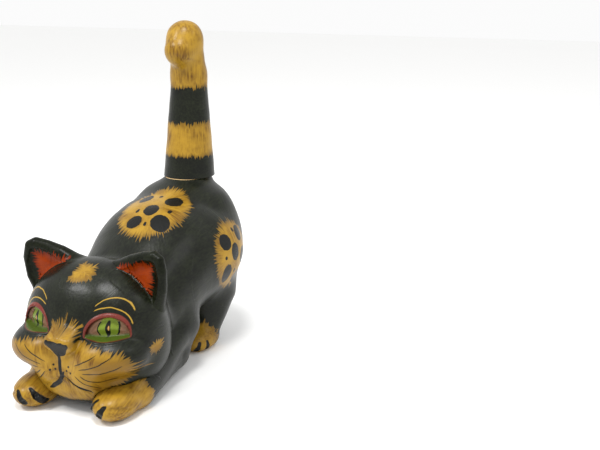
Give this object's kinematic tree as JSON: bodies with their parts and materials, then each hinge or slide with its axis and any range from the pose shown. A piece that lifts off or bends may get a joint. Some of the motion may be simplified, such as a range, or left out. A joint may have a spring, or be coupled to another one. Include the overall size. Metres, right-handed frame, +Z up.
{
  "type": "alebrije figure",
  "caption": "Carved and painted wooden cat figure, stretching with rump raised and tail upright; separate head, ears, forelegs and a pegged tail that turns and lifts off.",
  "frame": {"origin": "on the floor under the middle of the bounding box", "axes": "+Z up along the tail, the cat faces -Y, its left side is at +X"},
  "size_m": [0.134, 0.255, 0.2999],
  "materials": {
    "painted_coat": "satin lacquer over greenish black paint",
    "painted_ochre": "satin lacquer over ochre paint",
    "bare_wood": "bare turned wood",
    "bamboo": "split bamboo"
  },
  "bodies": {
    "cat": {"torso": "painted_coat", "head": "painted_coat", "ear_left": "painted_coat", "ear_right": "painted_coat", "foreleg_left": "painted_ochre", "foreleg_right": "painted_ochre", "neck_dowel_left": "bare_wood", "neck_dowel_right": "bare_wood", "foreleg_dowel_left_front": "bare_wood", "foreleg_dowel_left_rear": "bare_wood", "foreleg_dowel_right_front": "bare_wood", "foreleg_dowel_right_rear": "bare_wood", "ear_pin_left": "bamboo", "ear_pin_right": "bamboo"},
    "peg": {"tail_peg": "bare_wood"},
    "tail": {"tail": "painted_ochre"}
  },
  "joints": [
    {"name": "tail_turn", "type": "hinge", "parent": "cat", "child": "peg", "pos_m": [0, 0.103, 0.155], "axis": [0, 0, 1], "continuous": true},
    {"name": "tail_pull", "type": "slide", "parent": "peg", "child": "tail", "axis": [0, 0, 1], "range_m": [0, 0.034]}
  ]
}
